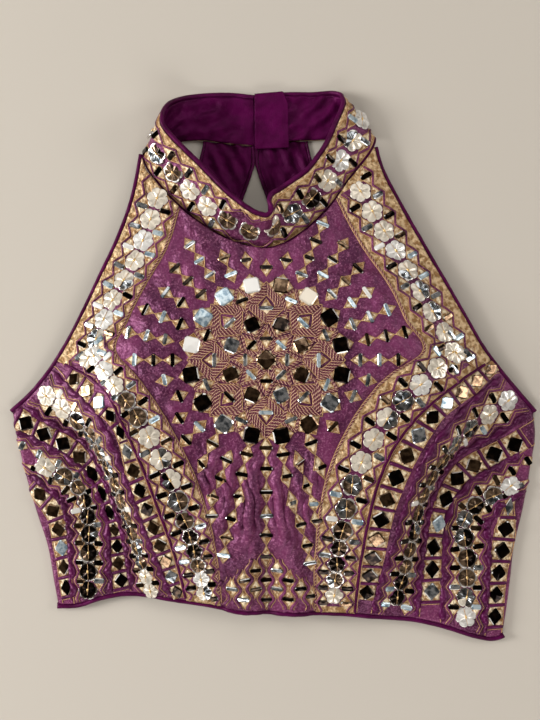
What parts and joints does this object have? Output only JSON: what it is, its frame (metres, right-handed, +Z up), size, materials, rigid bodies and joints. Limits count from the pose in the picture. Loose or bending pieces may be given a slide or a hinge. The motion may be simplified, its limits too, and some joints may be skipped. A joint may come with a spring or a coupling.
{
  "type": "halter-neck choli blouse",
  "caption": "Cropped sleeveless halter blouse laid flat, front up, with a stand collar, back keyhole, corded edges and raised mirror embroidery over the front and collar.",
  "frame": {"origin": "on the table under the middle of the laid blouse", "axes": "+Z up from the table through the front, +Y towards the collar, +X to the viewer's right when facing the front"},
  "size_m": [0.4302, 0.4524, 0.0394],
  "materials": {
    "plum_silk": "satin",
    "plum_satin": "satin",
    "gold_tissue": "metallic tissue"
  },
  "bodies": {
    "root": {"front_centre": "plum_silk", "front_side_left": "plum_silk", "front_side_right": "plum_silk", "border_left": "gold_tissue", "border_right": "gold_tissue", "collar": "gold_tissue", "collar_lining": "plum_satin", "collar_piping": "plum_satin", "collar_tab": "plum_satin", "armhole_piping_left": "plum_satin", "armhole_piping_right": "plum_satin", "hem_piping": "plum_satin", "back_left": "plum_silk", "back_right": "plum_silk", "back_armhole_piping_left": "plum_satin", "back_armhole_piping_right": "plum_satin", "back_hem_piping_left": "plum_satin", "back_hem_piping_right": "plum_satin", "keyhole_piping_left": "plum_satin", "keyhole_piping_right": "plum_satin"}
  },
  "joints": []
}
